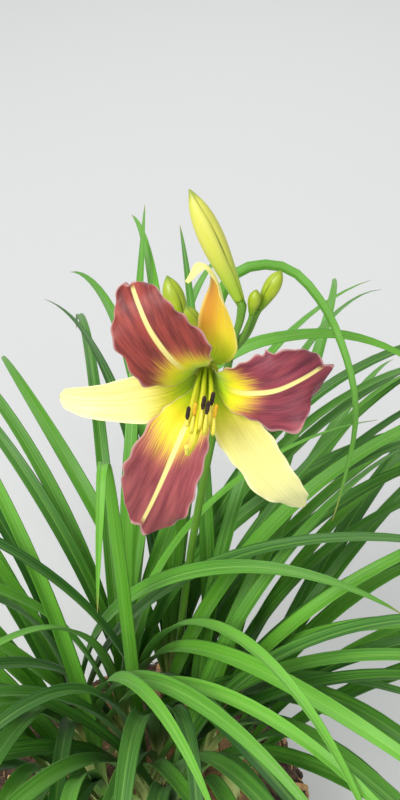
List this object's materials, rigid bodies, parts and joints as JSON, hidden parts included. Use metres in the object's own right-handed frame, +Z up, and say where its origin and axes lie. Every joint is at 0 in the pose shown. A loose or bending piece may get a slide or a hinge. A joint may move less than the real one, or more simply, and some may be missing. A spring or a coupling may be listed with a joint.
{
  "type": "daylily plant",
  "caption": "Clump-forming garden perennial lifted with its earth: arching grass-like leaf fans, a forked flower stalk with closed buds, and one open ruffled trumpet bloom.",
  "frame": {"origin": "on the surface the clump stands on, under the middle of the box around the whole plant", "axes": "+Z up; the bloom faces -Y and a little upward; +X is to the right of someone who faces the bloom"},
  "size_m": [0.9146, 0.8791, 0.7346],
  "materials": {
    "earth": "damp dark soil held together by fine roots",
    "root": "tan fleshy roots and crown",
    "stalk": "smooth green flower stalk",
    "throat": "yellow-green flower tube",
    "filament": "pale greenish yellow stamen and pistil threads",
    "leaf": "grass-green keeled blades with a slight sheen",
    "bud": "yellow-green closed buds with darker tips",
    "petal": "wine-rose with a pale yellow midrib and a yellow eye",
    "sepal": "pale yellow, deeper inside",
    "anther": "dark brown and orange pollen sacs"
  },
  "bodies": {
    "root": {"earth_clod": "earth", "crown_and_roots": "root", "flower_stalk": "stalk", "perianth_tube": "throat", "pistil": "filament", "leaf_fan_01": "leaf", "leaf_fan_02": "leaf", "leaf_fan_03": "leaf", "leaf_fan_04": "leaf", "leaf_fan_05": "leaf", "leaf_fan_06": "leaf", "leaf_fan_07": "leaf", "leaf_fan_08": "leaf", "leaf_fan_09": "leaf", "leaf_fan_10": "leaf", "leaf_fan_11": "leaf", "leaf_fan_12": "leaf", "leaf_fan_13": "leaf", "bud_large": "bud", "bud_left_tall": "bud", "bud_left_short": "bud", "bud_right_tall": "bud", "bud_right_short": "bud", "petal_upper_left": "petal", "petal_right": "petal", "petal_lower": "petal", "sepal_left": "sepal", "sepal_lower_right": "sepal", "sepal_top": "sepal", "stamen_1_filament": "filament", "stamen_2_filament": "filament", "stamen_3_filament": "filament", "stamen_4_filament": "filament", "stamen_5_filament": "filament", "stamen_6_filament": "filament", "stamen_1_anther": "anther", "stamen_2_anther": "anther", "stamen_3_anther": "anther", "stamen_4_anther": "anther", "stamen_5_anther": "anther", "stamen_6_anther": "anther"}
  },
  "joints": []
}
